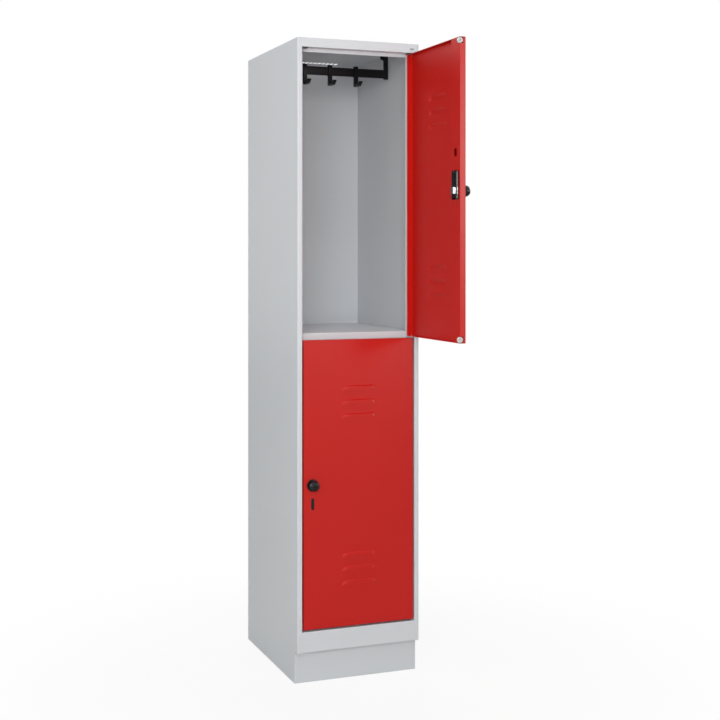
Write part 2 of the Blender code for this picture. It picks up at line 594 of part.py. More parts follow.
# Turn-knob lock: knob and key core outside, cam and sliding bolt inside
def build_lock(prefix, hinge, here):
    half = DOOR_W / 2
    case_y = DOOR_T + SEAM
    bolt_y = case_y + SHEET * 0.8
    bolt_end = bolt_y + BOLT_T
    cam_end = bolt_y - SEAM
    cam_y = cam_end - CAM_T
    arm = BOLT_THROW / 2
    case_x = -half + CASE_FREE_EDGE
    tip = -half + BOLT_TIP_INSET
    heel = LOCK_X + arm + CRANK_R + CRANK_PLAY + HEEL_WALL
    tongue_y = REBATE + SHEET + 2 * SEAM
    neck_x = -OPEN_HALF + SIDE_LIP + BOLT_THROW + 2 * PLAY
    neck_end = tip + TONGUE_L

    case = block(prefix + "_lock_case", (case_x, case_y, LOCK_Z - CASE_DOWN),
                 (case_x + CASE_W, case_y + CASE_T, LOCK_Z + CASE_UP), BLACK, 1, 0.003, 3, hinge, here)
    boss = rod(prefix + "_case_boss", (LOCK_X, SHEET + SEAM, LOCK_Z),
               (LOCK_X, case_y + SHEET * 0.4, LOCK_Z), BOSS_R, None, 20, hinge, here)
    combine(case, boss, "UNION")
    run = BOLT_H / 2 + PLAY
    window = BOLT_H / 2 - CASE_LIP
    cut_block(case, (case_x - FAR, bolt_y - PLAY, LOCK_Z - run),
              (heel + 2 * PLAY, bolt_end + PLAY, LOCK_Z + run))
    cut_block(case, (case_x - FAR, bolt_end, LOCK_Z - window),
              (neck_end + PLAY, bolt_end + FAR, LOCK_Z + window))
    cut_rod(case, (LOCK_X, cam_y - SEAM, LOCK_Z), (LOCK_X, bolt_y, LOCK_Z), CAM_R + PLAY, 20)
    cut_rod(case, (LOCK_X, -FAR, LOCK_Z), (LOCK_X, cam_y, LOCK_Z), SPINDLE_R + PLAY, 16)
    bm = bmesh.new()
    fork = Vector((case_x + CASE_W / 2, case_y + CASE_T / 2, LOCK_Z - CASE_DOWN))
    bmesh.ops.create_cone(bm, cap_ends=True, segments=3, radius1=CASE_W * 0.34, radius2=CASE_W * 0.34,
                          depth=CASE_T * 2,
                          matrix=Matrix.Translation(fork) @ Matrix.Rotation(math.pi / 2, 4, "X")
                          @ Matrix.Rotation(math.pi, 4, "Z"))
    name = prefix + "_case_fork"
    combine(case, add_object(name, to_mesh(bm, name), None, hinge, here))

    bolt = block(prefix + "_lock_bolt", (tip, bolt_y, LOCK_Z - BOLT_H / 2),
                 (heel, bolt_end, LOCK_Z + BOLT_H / 2), CHROME, None, 0.0, 4, hinge, here)
    neck = block(prefix + "_bolt_neck", (neck_x, bolt_end - SHEET, LOCK_Z - window + PLAY),
                 (neck_end, tongue_y + SHEET, LOCK_Z + window - PLAY), None, None, 0.0, 4, hinge, here)
    combine(bolt, neck, "UNION")
    tongue = block(prefix + "_bolt_tongue", (tip, tongue_y, LOCK_Z - BOLT_H / 2),
                   (neck_end + SHEET, tongue_y + TONGUE_T, LOCK_Z + BOLT_H / 2),
                   None, None, 0.0, 4, hinge, here)
    soften(tongue, 0.001, 2)
    combine(bolt, tongue, "UNION")
    reach = arm * math.sqrt(2) + CRANK_R + CRANK_PLAY
    cut_block(bolt, (LOCK_X + arm - CRANK_R - CRANK_PLAY, bolt_y - FAR,
                     LOCK_Z + arm - CRANK_R - CRANK_PLAY),
              (LOCK_X + arm + CRANK_R + CRANK_PLAY, bolt_y + CRANK_REACH + SEAM, LOCK_Z + reach))

    axis = pivot(prefix + "_lock_axis", (LOCK_X - HINGE_X, -HINGE_INSET, LOCK_Z), hinge)
    cam = rod(prefix + "_lock_cam", (0, cam_y, 0), (0, cam_end, 0), CAM_R, STEEL, 20, axis)
    crank = rod(prefix + "_cam_crank", (arm, cam_y + CAM_T / 2, arm),
                (arm, bolt_y + CRANK_REACH, arm), CRANK_R, None, 12, axis)
    combine(cam, crank, "UNION")

    out = math.radians(90)
    seat = ROSETTE_T + 2 * SEAM
    ring = turned(prefix + "_lock_rosette",
                  [(SPINDLE_R + PLAY, ROSETTE_T), (ROSETTE_R * 0.86, ROSETTE_T),
                   (ROSETTE_R * 0.95, ROSETTE_T * 0.8), (ROSETTE_R, ROSETTE_T * 0.4),
                   (ROSETTE_R, SEAM), (SPINDLE_R + PLAY, SEAM)],
                  BLACK, True, 28, hinge, (here[0] + LOCK_X, here[1], LOCK_Z))
    ring.rotation_euler = (out, 0, 0)
    high = math.asin((KNOB_TOP - BALL_UP) / BALL_R)
    low = math.asin((seat - BALL_UP) / BALL_R)
    outline = [(0.0, KNOB_TOP)]
    for i in range(9):
        a = high + (low - high) * i / 8
        outline.append((BALL_R * math.cos(a), BALL_UP + BALL_R * math.sin(a)))
    outline += [(SPINDLE_R, seat), (SPINDLE_R, SEAM - cam_y), (0.0, SEAM - cam_y)]
    knob = turned(prefix + "_lock_knob", outline, BLACK, False, 28, axis)
    knob.rotation_euler = (out, 0, 0)
    bore = rod(prefix + "_core_bore", (0, 0, KNOB_TOP - CORE_LEN - SEAM), (0, 0, KNOB_TOP + FAR),
               CORE_R + PLAY, None, 20, axis)
    bore.rotation_euler = (out, 0, 0)
    combine(knob, bore)
    core = rod(prefix + "_lock_core", (0, 0, KNOB_TOP - CORE_LEN), (0, 0, KNOB_TOP + 2 * SEAM),
               CORE_R, BLACK_PAINT, 20, axis)
    core.rotation_euler = (out, 0, 0)
    key = block(prefix + "_keyway", (-KEYWAY[0] / 2, -KEYWAY[1] / 2, KNOB_TOP - KEYWAY[2]),
                (KEYWAY[0] / 2, KEYWAY[1] / 2, KNOB_TOP + FAR), None, None, 0.0, 4, axis)
    key.rotation_euler = (out, 0, 0)
    combine(core, key)


build_door("lower", LOWER_Z, 0.0)
build_door("upper", UPPER_Z, UPPER_OPEN)


# Hook outline in depth and height about the bar's centre, front to -Y
def hook_outline():
    front = -BAR_T / 2 - PLAY - HOOK_WALL
    rear = front + HOOK_STEM
    top = -BAR_H / 2 - PLAY - HOOK_WALL / 2
    floor = -BAR_H / 2 - HOOK_DROP
    nose = front - HOOK_REACH
    tip = floor + HOOK_RISE
    corners = [(rear, top, 0), (rear, floor, 0), (nose + HOOK_REACH * 0.4, floor, 0), (nose, tip, 0),
               (nose + HOOK_T * 0.7, tip + HOOK_T * 0.35, 0),
               (nose + HOOK_REACH * 0.52, floor + HOOK_T * 1.3, 0),
               (front, floor + HOOK_T * 1.5, 0), (front, top, 0)]
    return rounded_path(corners, [HOOK_T, HOOK_REACH * 0.35, HOOK_T * 0.2, HOOK_T * 0.2,
                                  HOOK_REACH * 0.2, HOOK_T * 0.8], 4)


def build_hook(name, at):
    curve = bpy.data.curves.new(name + "_outline", "CURVE")
    curve.dimensions = "2D"
    curve.fill_mode = "BOTH"
    curve.extrude = HOOK_W / 2
    points = hook_outline()
    spline = curve.splines.new("POLY")
    spline.points.add(len(points) - 1)
    for p, co in zip(spline.points, points):
        p.co = (co.x, co.y, 0.0, 1.0)
    spline.use_cyclic_u = True
    holder = bpy.data.objects.new(name + "_outline", curve)
    cutters.objects.link(holder)
    view = bpy.context.evaluated_depsgraph_get()
    mesh = bpy.data.meshes.new_from_object(holder.evaluated_get(view))
    bpy.data.objects.remove(holder, do_unlink=True)
    bm = bmesh.new()
    bm.from_mesh(mesh)
    bmesh.ops.remove_doubles(bm, verts=bm.verts, dist=1e-6)
    # Outline (depth, height, thickness) to (X thickness, Y depth, Z height)
    swap = Matrix(((0, 0, 1, 0), (1, 0, 0, 0), (0, 1, 0, 0), (0, 0, 0, 1)))
    bmesh.ops.transform(bm, matrix=swap, verts=bm.verts)
    bmesh.ops.recalc_face_normals(bm, faces=bm.faces)
    bm.to_mesh(mesh)
    bm.free()
    mesh.name = name
    hook = add_object(name, mesh, BLACK, None, at)
    wall = PLAY + HOOK_WALL
    clip = block(name + "_clip", (-HOOK_W / 2, -BAR_T / 2 - wall, -BAR_H / 2 - wall),
                 (HOOK_W / 2, BAR_T / 2 + wall, BAR_H / 2 + wall + HOOK_NUB), None, 0, 0.003, 2,
                 None, at)
    combine(hook, clip, "UNION")
    cut_block(hook, (-HOOK_W, -BAR_T / 2 - PLAY, -BAR_H / 2 - PLAY),
              (HOOK_W, BAR_T / 2 + PLAY, BAR_H / 2 + PLAY))


# Coat rail on two straps under a panel, with three sliding hooks
def build_rail(prefix, under_z):
    bar_y = FRONT_Y + BAR_FROM_FRONT
    bar_z = under_z - BAR_BELOW_ROOF
    strap_out = HALF_W - SHEET - STRAP_FROM_WALL
    strap_in = strap_out - STRAP_W
    end = strap_in - SEAM
    block(prefix + "_coat_rail", (-end, bar_y - BAR_T / 2, bar_z - BAR_H / 2),
          (end, bar_y + BAR_T / 2, bar_z + BAR_H / 2), BLACK_PAINT, 0, 0.0015, 2)
    for side, word in ((-1, "left"), (1, "right")):
        x0, x1 = sorted((side * strap_in, side * strap_out))
        strap = block("%s_rail_bracket_%s" % (prefix, word),
                      (x0, bar_y - STRAP_T / 2, bar_z - BAR_H / 2 - STRAP_BELOW_BAR),
                      (x1, bar_y + STRAP_T / 2, under_z - SEAM - STRAP_PAD[2] / 2),
                      BLACK_PAINT, 1, 0.002, 2)
        p0, p1 = sorted((side * (strap_out + STRAP_FROM_WALL / 2), side * (strap_out - STRAP_PAD[0])))
        pad = block("%s_%s_pad" % (prefix, word),
                    (p0, bar_y - STRAP_PAD[1] / 2, under_z - SEAM - STRAP_PAD[2]),
                    (p1, bar_y + STRAP_PAD[1] / 2, under_z - SEAM), None, 2, 0.003, 2)
        combine(strap, pad, "UNION")
        h0, h1 = sorted((side * (strap_out - SHEET / 2), side * (strap_out - STRAP_HEAD[0])))
        head = block("%s_%s_head" % (prefix, word),
                     (h0, bar_y - STRAP_T / 2 + SEAM, under_z - STRAP_PAD[2] - STRAP_HEAD[1]),
                     (h1, bar_y + STRAP_T / 2 - SEAM, under_z - STRAP_PAD[2] / 2), None)
        for v in head.data.vertices:
            if side * v.co.x < strap_in and v.co.z < under_z - STRAP_HEAD[1] / 2:
                v.co.z += STRAP_HEAD[1] / 2
        combine(strap, head, "UNION")
    for x, word in zip(HOOK_X, ("left", "middle", "right")):
        build_hook("%s_hook_%s" % (prefix, word), (x, bar_y, bar_z))


build_rail("upper", HEIGHT - SHEET)
build_rail("lower", SHELF_Z - SHEET)


# Base: a U bar between the sides carries two levelling screws
def build_base(word, mid_y):
    path = rounded_path([(-INNER_HALF, mid_y - BAR_WEB_W / 2, BAR_WEB_Z + BAR_LEG),
                         (-INNER_HALF, mid_y - BAR_WEB_W / 2, BAR_WEB_Z),
                         (-INNER_HALF, mid_y + BAR_WEB_W / 2, BAR_WEB_Z),
                         (-INNER_HALF, mid_y + BAR_WEB_W / 2, BAR_WEB_Z + BAR_LEG)],
                        [2 * BAR_SHEET, 2 * BAR_SHEET])
    bar = folded_sheet("foot_bar_" + word, path, (2 * INNER_HALF, 0, 0), (0, -1, 0), GREY, BAR_SHEET)
    for side, hand in ((-1, "left"), (1, "right")):
        x = side * (HALF_W - FOOT_INSET)
        cut_rod(bar, (x, mid_y, BAR_WEB_Z - FAR), (x, mid_y, BAR_WEB_Z + FAR), STUD_R + PLAY, 16)
        low = GLIDE_LIFT
        turned("level_screw_%s_%s" % (word, hand),
               [(0.0, STUD_TOP), (STUD_R * 0.8, STUD_TOP), (STUD_R, STUD_TOP - STUD_R * 0.3),
                (STUD_R, low + GLIDE_T + STUD_R * 0.5), (GLIDE_R * 0.8, low + GLIDE_T),
                (GLIDE_R, low + GLIDE_T * 0.5), (GLIDE_R, low), (0.0, low)],
               BLACK, False, 18, None, (x, mid_y, 0))


build_base("front", FRONT_Y + PLINTH_RECESS + PLINTH_FLANGE + FOOT_SETBACK / 2)
build_base("rear", BACK_Y - PLINTH_FLANGE - FOOT_SETBACK / 2)
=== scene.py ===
import json
import math

import bmesh
import bpy
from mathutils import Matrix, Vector


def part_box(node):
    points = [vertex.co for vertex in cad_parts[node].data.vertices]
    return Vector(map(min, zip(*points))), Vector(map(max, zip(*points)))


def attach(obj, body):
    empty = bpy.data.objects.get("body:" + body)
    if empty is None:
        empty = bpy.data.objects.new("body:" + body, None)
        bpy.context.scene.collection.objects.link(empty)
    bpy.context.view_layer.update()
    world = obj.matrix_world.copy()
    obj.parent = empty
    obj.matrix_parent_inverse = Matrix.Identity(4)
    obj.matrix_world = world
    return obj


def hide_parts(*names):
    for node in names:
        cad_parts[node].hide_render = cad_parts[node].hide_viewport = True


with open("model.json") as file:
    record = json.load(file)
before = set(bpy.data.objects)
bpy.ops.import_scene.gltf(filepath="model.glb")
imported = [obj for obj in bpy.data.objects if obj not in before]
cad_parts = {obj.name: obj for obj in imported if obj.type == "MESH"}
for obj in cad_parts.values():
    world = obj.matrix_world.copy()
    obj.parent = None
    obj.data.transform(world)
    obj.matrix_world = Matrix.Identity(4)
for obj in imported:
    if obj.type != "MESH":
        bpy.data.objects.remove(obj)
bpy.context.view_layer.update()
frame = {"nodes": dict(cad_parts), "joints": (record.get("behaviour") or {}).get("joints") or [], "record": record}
nodes = frame["nodes"]
scene = bpy.context.scene
scene.view_settings.view_transform = "Standard"
print("frame loaded:", len(nodes), "nodes")

# the carcass stands square to the frame: front face, middle of its depth
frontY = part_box("left_front_post")[0][1]
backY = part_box("left_side_panel")[1][1]
midY = (frontY + backY) / 2


def hexLinear(code):
    parts = [int(code[i:i + 2], 16) / 255 for i in (0, 2, 4)]
    return tuple(c / 12.92 if c <= 0.04045 else ((c + 0.055) / 1.055) ** 2.4 for c in parts) + (1.0,)


def addNode(tree, kind, values=None, links=None, **settings):
    node = tree.nodes.new(kind)
    for key, value in settings.items():
        setattr(node, key, value)
    for key, value in (values or {}).items():
        node.inputs[key].default_value = value
    for key, source in (links or {}).items():
        tree.links.new(source, node.inputs[key])
    return node


# camera solved from the photograph's straight edges
cameraLook = {"place": (-1.458, midY - 3.797, 1.299), "turn": -20.17, "lens": 62.71,
              "shift": (0.06715, -0.1476)}

camera = bpy.data.cameras.new("camera")
camera.sensor_width = 36
camera.lens = cameraLook["lens"]
camera.shift_x, camera.shift_y = cameraLook["shift"]
cameraObject = bpy.data.objects.new("camera", camera)
cameraObject.location = cameraLook["place"]
cameraObject.rotation_euler = (math.radians(90), 0, math.radians(cameraLook["turn"]))
scene.collection.objects.link(cameraObject)
scene.camera = cameraObject


# surface finishes
def newFinish(name):
    mat = bpy.data.materials.new(name)
    mat.use_nodes = True
    tree = mat.node_tree
    shader = tree.nodes["Principled BSDF"]
    coords = addNode(tree, "ShaderNodeTexCoord").outputs["Object"]
    return mat, tree, shader, coords


# electrostatic powder coat: satin, with a faint orange peel and slow drifts of tone
# real peel is under 1 mm across, drawn at 3 mm so that it shows in a close view
coatLook = {"drift": 0.35, "peel": 0.003, "glossSpread": 0.05, "bump": 0.05, "bumpDeep": 0.0004,
            "shine": 0.32}


def powderCoat(name, pale, deep, roughness):
    mat, tree, shader, coords = newFinish(name)
    drift = addNode(tree, "ShaderNodeTexNoise", {"Scale": 1 / coatLook["drift"], "Detail": 2.0},
                    {"Vector": coords})
    tint = addNode(tree, "ShaderNodeMix", {"A": hexLinear(deep), "B": hexLinear(pale)}, data_type="RGBA")
    tree.links.new(drift.outputs["Fac"], tint.inputs["Factor"])
    tree.links.new(tint.outputs["Result"], shader.inputs["Base Color"])
    peel = addNode(tree, "ShaderNodeTexNoise", {"Scale": 1 / coatLook["peel"], "Detail": 1.5},
                   {"Vector": coords})
    spread = coatLook["glossSpread"]
    gloss = addNode(tree, "ShaderNodeMapRange", {"To Min": roughness - spread, "To Max": roughness + spread},
                    {"Value": peel.outputs["Fac"]})
    tree.links.new(gloss.outputs["Result"], shader.inputs["Roughness"])
    bump = addNode(tree, "ShaderNodeBump", {"Strength": coatLook["bump"], "Distance": coatLook["bumpDeep"]},
                   {"Height": peel.outputs["Fac"]})
    tree.links.new(bump.outputs["Normal"], shader.inputs["Normal"])
    shader.inputs["Specular IOR Level"].default_value = coatLook["shine"]
    return mat


greyCoat = powderCoat("light_grey_powder_coat", "CCCFD2", "C8CBCE", 0.40)
redCoat = powderCoat("red_powder_coat", "BB140A", "B61209", 0.38)


# moulded nylon: fine spark texture, soft highlights
plasticLook = {"glossSpread": 0.06, "bump": 0.08, "bumpDeep": 0.0002, "ior": 1.53, "shine": 0.34}


def mouldedPlastic(name, pale, deep, roughness, grit):
    mat, tree, shader, coords = newFinish(name)
    grain = addNode(tree, "ShaderNodeTexNoise", {"Scale": 1 / grit, "Detail": 2.0}, {"Vector": coords})
    tint = addNode(tree, "ShaderNodeMix", {"A": hexLinear(deep), "B": hexLinear(pale)}, data_type="RGBA")
    tree.links.new(grain.outputs["Fac"], tint.inputs["Factor"])
    tree.links.new(tint.outputs["Result"], shader.inputs["Base Color"])
    spread = plasticLook["glossSpread"]
    gloss = addNode(tree, "ShaderNodeMapRange", {"To Min": roughness - spread, "To Max": roughness + spread},
                    {"Value": grain.outputs["Fac"]})
    tree.links.new(gloss.outputs["Result"], shader.inputs["Roughness"])
    bump = addNode(tree, "ShaderNodeBump",
                   {"Strength": plasticLook["bump"], "Distance": plasticLook["bumpDeep"]},
                   {"Height": grain.outputs["Fac"]})
    tree.links.new(bump.outputs["Normal"], shader.inputs["Normal"])
    shader.inputs["IOR"].default_value = plasticLook["ior"]
    shader.inputs["Specular IOR Level"].default_value = plasticLook["shine"]
    return mat


blackPlastic = mouldedPlastic("moulded_black_nylon", "0E0E0F", "09090A", 0.27, 0.0012)
whitePlastic = mouldedPlastic("white_buffer_plastic", "CACAC7", "C0C0BD", 0.45, 0.0015)
blackPaint = powderCoat("black_powder_coat", "0C0D0E", "08090A", 0.42)


# plated steel: bright nickel on the bolts, duller zinc on pins and cams, fine lines along one way
plateLook = {"line": 0.0012, "stretch": 0.08, "glossLess": 0.05, "glossMore": 0.08}


def platedSteel(name, pale, deep, roughness):
    mat, tree, shader, coords = newFinish(name)
    stretch = addNode(tree, "ShaderNodeMapping", {"Scale": (1.0, 1.0, plateLook["stretch"])},
                      {"Vector": coords})
    lines = addNode(tree, "ShaderNodeTexNoise", {"Scale": 1 / plateLook["line"], "Detail": 3.0},
                    {"Vector": stretch.outputs["Vector"]})
    tint = addNode(tree, "ShaderNodeMix", {"A": hexLinear(deep), "B": hexLinear(pale)}, data_type="RGBA")
    tree.links.new(lines.outputs["Fac"], tint.inputs["Factor"])
    tree.links.new(tint.outputs["Result"], shader.inputs["Base Color"])
    gloss = addNode(tree, "ShaderNodeMapRange",
                    {"To Min": roughness - plateLook["glossLess"],
                     "To Max": roughness + plateLook["glossMore"]},
                    {"Value": lines.outputs["Fac"]})
    tree.links.new(gloss.outputs["Result"], shader.inputs["Roughness"])
    shader.inputs["Metallic"].default_value = 1.0
    return mat


brightPlate = platedSteel("bright_nickel_plate", "A6A9AD", "7B7E83", 0.32)
zincPlate = platedSteel("zinc_plated_steel", "B9BBBE", "A4A6AA", 0.34)
badgeSteel = platedSteel("satin_pewter_plate", "8C9294", "80868A", 0.42)

slotFinish = {"light_grey_powder_coat": greyCoat, "red_powder_coat": redCoat, "black_plastic": blackPlastic,
              "black_painted_steel": blackPaint, "white_buffer_plastic": whitePlastic,
              "bright_plated_steel": brightPlate, "zinc_plated_steel": zincPlate}
for part in frame["record"]["subparts"]:
    piece = nodes[part["node"]]
    for slot in piece.material_slots:
        slot.material = slotFinish[part["material_slot"]]
print("finishes set")

bodies = frame["record"]["behaviour"]["bodies"]
bodyOf = {node: body for body, members in bodies.items() for node in members}


def newPiece(name, mesh, finish, body, slotName, *stoodFor):
    piece = bpy.data.objects.new(name, mesh)
    scene.collection.objects.link(piece)
    mesh.materials.clear()
    mesh.materials.append(finish)
    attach(piece, body)
    if stoodFor:
        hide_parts(*stoodFor)


meshLook = {"merge": 1e-6, "around": 64}


# merged, outward and smooth, with edges sharper than the angle kept crisp
def finishMesh(bm, name, angle):
    bmesh.ops.remove_doubles(bm, verts=bm.verts, dist=meshLook["merge"])
    bmesh.ops.recalc_face_normals(bm, faces=bm.faces)
    for face in bm.faces:
        face.smooth = True
    for edge in bm.edges:
        edge.smooth = edge.calc_face_angle(0.0) < math.radians(angle)
    mesh = bpy.data.meshes.new(name)
    bm.to_mesh(mesh)
    bm.free()
    return mesh


# faces between neighbouring rings; a ring of one point closes a pole
def loftRings(bm, rings):
    for low, high in zip(rings, rings[1:]):
        for i in range(max(len(low), len(high))):
            corners = []
            for ring, step in ((low, i), (low, i + 1), (high, i + 1), (high, i)):
                if ring[step % len(ring)] not in corners:
                    corners.append(ring[step % len(ring)])
            if len(corners) > 2:
                bm.faces.new(corners)


# an outline of (radius, height) pairs turned about an axis, heights outwards along it
def turnOutline(bm, outline, place, way, count=meshLook["around"]):
    tilt = Vector(way).to_track_quat("Z", "Y").to_matrix()
    rings = []
    for radius, height in outline:
        ring = []
        for i in range(count if radius > meshLook["merge"] else 1):
            angle = 2 * math.pi * i / count
            spot = Vector((radius * math.cos(angle), radius * math.sin(angle), height))
            ring.append(bm.verts.new(Vector(place) + tilt @ spot))
        rings.append(ring)
    loftRings(bm, rings)
    return rings, tilt


def outlineArc(centre, radius, start, end, steps):
    angles = [math.radians(start + (end - start) * i / steps) for i in range(steps + 1)]
    return [(centre[0] + radius * math.cos(a), centre[1] + radius * math.sin(a)) for a in angles]


# turn-knob lock: ball knob with a slightly flattened front, key core with an upright slot, rosette
knobLook = {"ballUp": 0.0135, "front": 0.0281, "rim": 0.0006, "seat": 0.0038, "bore": 0.0049,
            "spindle": (0.0045, -0.0155), "coreRadius": 0.0046, "coreBase": 0.0131, "coreChamfer": 0.0005,
            "keyway": (0.0016, 0.0066), "keyDeep": 0.0045, "rosetteTop": 0.0032, "rosetteFoot": 0.0003,
            "rosetteBore": 0.0048, "rosetteRim": 0.0018, "coreBulge": 0.8, "keyEnds": 3,
            "crease": 35, "coreCrease": 30}

turns = {joint["name"]: joint for joint in frame["joints"]}
for door in ("upper", "lower"):
    place, way = turns[door + "_knob_turn"]["pos_m"], turns[door + "_knob_turn"]["axis"]
    low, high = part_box(door + "_lock_knob")
    ball = (high.z - low.z) / 2
    up, rim, base, bore = (knobLook[key] for key in ("ballUp", "rim", "coreBase", "bore"))
    swell = knobLook["front"] - up
    brow = math.degrees(math.acos((bore + rim) / ball))
    dome = [(r, up + (h - up) * swell / ball) for r, h in outlineArc((0, up), ball, brow, 0, 20)]
    under = outlineArc((0, up), ball, 0, math.degrees(math.asin((knobLook["seat"] - up) / ball)), 12)
    front = dome[0][1] - rim / 2
    spindle, tip = knobLook["spindle"]
    outline = [(0, base), (bore, base), (bore, front)] + dome + under[1:]
    outline += [(spindle, knobLook["seat"]), (spindle, tip), (0, tip)]
    bm = bmesh.new()
    turnOutline(bm, outline, place, way)
    newPiece(door + "_ball_knob", finishMesh(bm, door + "_ball_knob", knobLook["crease"]), blackPlastic,
             door + "_knob", "black_plastic", door + "_lock_knob")

    bm = bmesh.new()
    radius, chamfer = knobLook["coreRadius"], knobLook["coreChamfer"]
    face = [(r, up + swell * math.sqrt(1 - (r / ball) ** 2))
            for r in (radius - chamfer, knobLook["coreBulge"] * radius, knobLook["keyway"][1] / 2)]
    outline = [(0, base + chamfer), (radius, base + chamfer), (radius, front - chamfer / 2)] + face
    rings, tilt = turnOutline(bm, outline, place, way)
    upright = tilt.inverted() @ Vector((0, 0, 1))
    across = upright.cross(Vector((0, 0, 1)))
    wide, tall = knobLook["keyway"][0] / 2, knobLook["keyway"][1] / 2
    for height in (face[-1][1], front - knobLook["keyDeep"]):
        ring = []
        for i in range(meshLook["around"]):
            angle = 2 * math.pi * i / meshLook["around"]
            flat = Vector((math.cos(angle), math.sin(angle), 0))
            aside = max(-wide, min(wide, knobLook["keyEnds"] * wide * flat.dot(across)))
            spot = across * aside + upright * (tall * flat.dot(upright)) + Vector((0, 0, height))
            ring.append(bm.verts.new(Vector(place) + tilt @ spot))
        rings.append(ring)
    loftRings(bm, rings[-3:])
    bm.faces.new(rings[-1])
    newPiece(door + "_key_core", finishMesh(bm, door + "_key_core", knobLook["coreCrease"]), blackPaint,
             door + "_knob", "black_painted_steel", door + "_lock_core")

    low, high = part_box(door + "_lock_rosette")
    radius, bore, rim = (high.z - low.z) / 2, knobLook["rosetteBore"], knobLook["rosetteRim"]
    foot, top = knobLook["rosetteFoot"], knobLook["rosetteTop"]
    outline = [(bore, foot), (radius, foot)] + outlineArc((radius - rim, top - rim), rim, 0, 90, 8)
    outline += [(bore, top), (bore, foot)]
    bm = bmesh.new()
    turnOutline(bm, outline, place, way)
    newPiece(door + "_knob_rosette", finishMesh(bm, door + "_knob_rosette", knobLook["crease"]), blackPlastic,
             door + "_door", "black_plastic", door + "_lock_rosette")
print("knobs turned")

# door buffers: short white plugs let into the free edge, hollow at the outer end
bufferLook = {"soft": 0.0011, "hollow": 0.0030, "hollowDeep": 0.0042, "around": 48, "crease": 35}

for door, way in (("upper", Vector((0, -1, 0))), ("lower", Vector((-1, 0, 0)))):
    for end in ("top", "bottom"):
        node = "%s_buffer_%s" % (door, end)
        low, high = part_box(node)
        radius, half = (high.z - low.z) / 2, abs((high - low).dot(way)) / 2
        soft, hollow, floorUp = bufferLook["soft"], bufferLook["hollow"], half - bufferLook["hollowDeep"]
        outline = [(0, -half), (radius - soft / 2, -half), (radius, -half + soft / 2)]
        outline += outlineArc((radius - soft, half - soft), soft, 0, 90, 6)
        outline += outlineArc((hollow + soft, half - soft), soft, 90, 180, 6)
        outline += [(hollow, floorUp), (0, floorUp)]
        bm = bmesh.new()
        turnOutline(bm, outline, (low + high) / 2, way, bufferLook["around"])
        newPiece(node + "_plug", finishMesh(bm, node + "_plug", bufferLook["crease"]), whitePlastic,
                 door + "_door", "white_buffer_plastic", node)
print("buffers set")

# header badge: a bare oval plate with a rounded rim
badgeLook = {"centre": (0.1765, 1.9336), "size": (0.0167, 0.0062), "thick": 0.0009, "soft": 0.0006,
             "crease": 35}

bm = bmesh.new()
halfWide, halfTall = badgeLook["size"][0] / 2, badgeLook["size"][1] / 2
thick, soft = badgeLook["thick"], badgeLook["soft"]
middleX, middleZ = badgeLook["centre"]
rings = []
rim = [(soft - a, thick - soft + b) for a, b in outlineArc((0, 0), soft, 15, 90, 5)]
for inset, proud in [(0, 0.0), (0, thick - soft)] + rim:
    ring = []
    for i in range(meshLook["around"]):
        angle = 2 * math.pi * i / meshLook["around"]
        ring.append(bm.verts.new((middleX + (halfWide - inset) * math.cos(angle), frontY - proud,
                                  middleZ + (halfTall - inset) * math.sin(angle))))
    rings.append(ring)
loftRings(bm, rings)
bm.faces.new(rings[0])
bm.faces.new(rings[-1])
newPiece("header_badge_blank", finishMesh(bm, "header_badge_blank", badgeLook["crease"]), badgeSteel,
         "carcass", "zinc_plated_steel")

# dressed welds over the joints of the posts with the header and the bottom rail
weldLook = {"wide": 0.0022, "proud": 0.00015, "root": 0.0006, "headerFace": 0.0280, "railFace": 0.0617,
            "run": 0.004, "inset": 0.0003, "thin": 0.2, "steps": 8, "crease": 60}

seamX = (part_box("header_rail")[1].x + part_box("right_side_panel")[0].x) / 2
headerTop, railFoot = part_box("header_rail")[1].z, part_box("bottom_rail")[0].z
inset, run, thin, steps = (weldLook[key] for key in ("inset", "run", "thin", "steps"))
for joint, foot, top in (("header", headerTop - weldLook["headerFace"], headerTop),
                         ("bottom_rail", railFoot, railFoot + weldLook["railFace"])):
    for side, word in ((-1, "left"), (1, "right")):
        bm = bmesh.new()
        rings = []
        for z, swell in ((foot + inset, thin), (foot + run, 1), (top - run, 1), (top - inset, thin)):
            bead = [(-weldLook["wide"] / 2 * math.cos(math.pi * i / steps),
                     -weldLook["proud"] * swell * math.sin(math.pi * i / steps)) for i in range(steps + 1)]
            bead += [(weldLook["wide"] / 8, weldLook["root"]), (-weldLook["wide"] / 8, weldLook["root"])]
            rings.append([bm.verts.new((side * seamX + x, frontY + y, z)) for x, y in bead])
        loftRings(bm, rings)
        bm.faces.new(rings[0])
        bm.faces.new(rings[-1])
        name = "%s_weld_%s" % (joint, word)
        newPiece(name, finishMesh(bm, name, weldLook["crease"]), greyCoat, "carcass",
                 "light_grey_powder_coat")
print("badge and welds set")

# pan head screws with a cross recess, on the coat rail brackets and the lock cases
screwLook = {"Head Radius": 0.0031, "Head Height": 0.0016, "Recess Width": 0.0008, "Recess Length": 0.0040,
             "bracketApart": 0.0080, "bracketIn": 0.0130, "padThick": 0.0030, "caseUp": (0.0175, 0.0490),
             "crease": 30}

